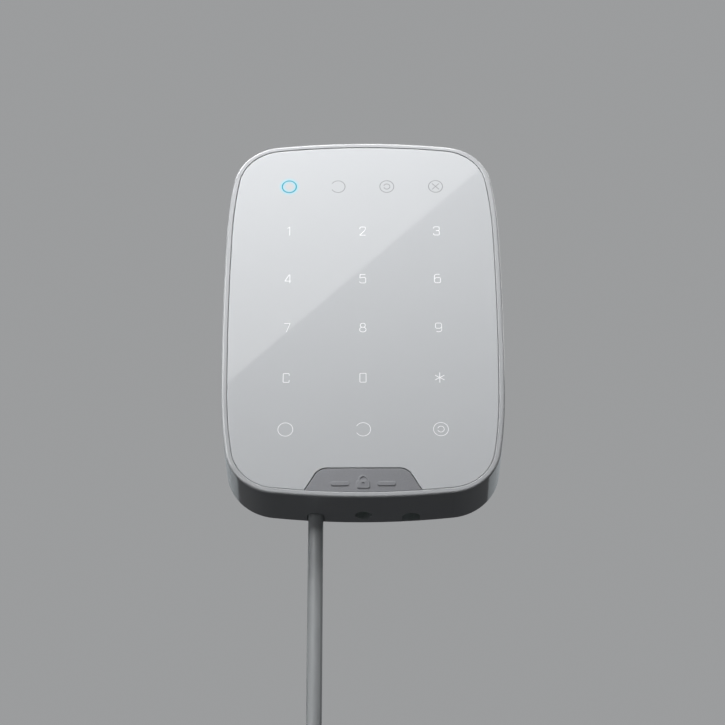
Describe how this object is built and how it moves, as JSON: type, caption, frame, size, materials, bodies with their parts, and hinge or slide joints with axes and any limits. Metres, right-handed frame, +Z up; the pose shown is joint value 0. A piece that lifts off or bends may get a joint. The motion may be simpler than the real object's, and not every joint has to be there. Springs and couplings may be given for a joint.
{
  "type": "alarm keypad panel",
  "caption": "Slim wall-mounted alarm keypad with glossy touch panel, round status lights, digit keys, badge plate, hook-on wall bracket, tamper switch and tied connection cable.",
  "frame": {"origin": "centre of the wall bracket's rear face, which lies on the wall at Y = 0", "axes": "+Z up the wall, +Y into the wall, -Y out towards the user, +X to the right of a user who faces the keys"},
  "size_m": [0.1098, 0.021, 0.3544],
  "materials": {
    "bracket_plastic": "moulded matte",
    "housing_gloss": "gloss",
    "panel_gloss": "high gloss",
    "adhesive_foam": "matte",
    "badge_satin": "satin",
    "diffuser_film": "matte",
    "clear_acrylic": "gloss",
    "shroud_black": "matte",
    "board_laminate": "solder mask",
    "lamp_package": "gloss",
    "bare_copper": "bare",
    "chip_black": "matte",
    "steel_plated": "zinc plated",
    "ferrite": "matte",
    "aluminium_can": "satin",
    "ceramic_chip": "satin",
    "sounder_black": "satin",
    "plunger_white": "satin",
    "cover_matte": "moulded matte",
    "terminal_green": "satin",
    "clamp_steel": "plated",
    "cable_jacket": "satin",
    "wire_red": "satin",
    "wire_black": "satin",
    "wire_yellow": "satin",
    "wire_green": "satin",
    "tie_black": "satin"
  },
  "bodies": {
    "bracket": {"wall_bracket": "bracket_plastic"},
    "keypad": {"badge_plate": "badge_satin", "board_screws": "steel_plated", "bus_cable": "cable_jacket", "bus_cable_coil": "cable_jacket", "bus_cable_tail": "cable_jacket", "bus_plug": "terminal_green", "bus_transceiver": "chip_black", "cable_clamp": "clamp_steel", "cable_clamp_screws": "steel_plated", "ceramic_capacitors": "ceramic_chip", "chip_resistors": "chip_black", "coil_ties": "tie_black", "diffuser_sheet": "diffuser_film", "electrolytic_capacitors": "aluminium_can", "front_housing": "housing_gloss", "indicator_lenses": "clear_acrylic", "indicator_shroud": "shroud_black", "inner_cable": "cable_jacket", "key_leds": "lamp_package", "light_guide": "clear_acrylic", "microcontroller": "chip_black", "panel_adhesive": "adhesive_foam", "plug_screws": "steel_plated", "plug_wires": "wire_red", "power_inductor": "ferrite", "quartz_crystal": "steel_plated", "rear_cover": "cover_matte", "rear_cover_screws": "steel_plated", "sounder": "sounder_black", "sounder_gasket": "adhesive_foam", "status_leds": "lamp_package", "tamper_spring": "steel_plated", "tamper_switch": "sounder_black", "terminal_block": "terminal_green", "terminal_cages": "steel_plated", "terminal_screws": "steel_plated", "touch_board": "board_laminate", "touch_controller": "chip_black", "touch_pads": "bare_copper", "touch_panel": "panel_gloss", "voltage_regulator": "chip_black", "wire_clock": "wire_green", "wire_common": "wire_black", "wire_data": "wire_yellow", "wire_supply": "wire_red"},
    "plunger": {"tamper_plunger": "plunger_white"}
  },
  "joints": [
    {"name": "keypad_lift", "type": "slide", "parent": "bracket", "child": "keypad", "axis": [0, 0, 1], "range_m": [0, 0.006]},
    {"name": "tamper_travel", "type": "slide", "parent": "keypad", "child": "plunger", "axis": [0, 1, 0], "range_m": [0, 0.0012], "deforming": ["tamper_spring"]}
  ],
  "couplings": [
    {"joint": "tamper_travel", "follows": "keypad_lift", "ratio": 0.15}
  ]
}
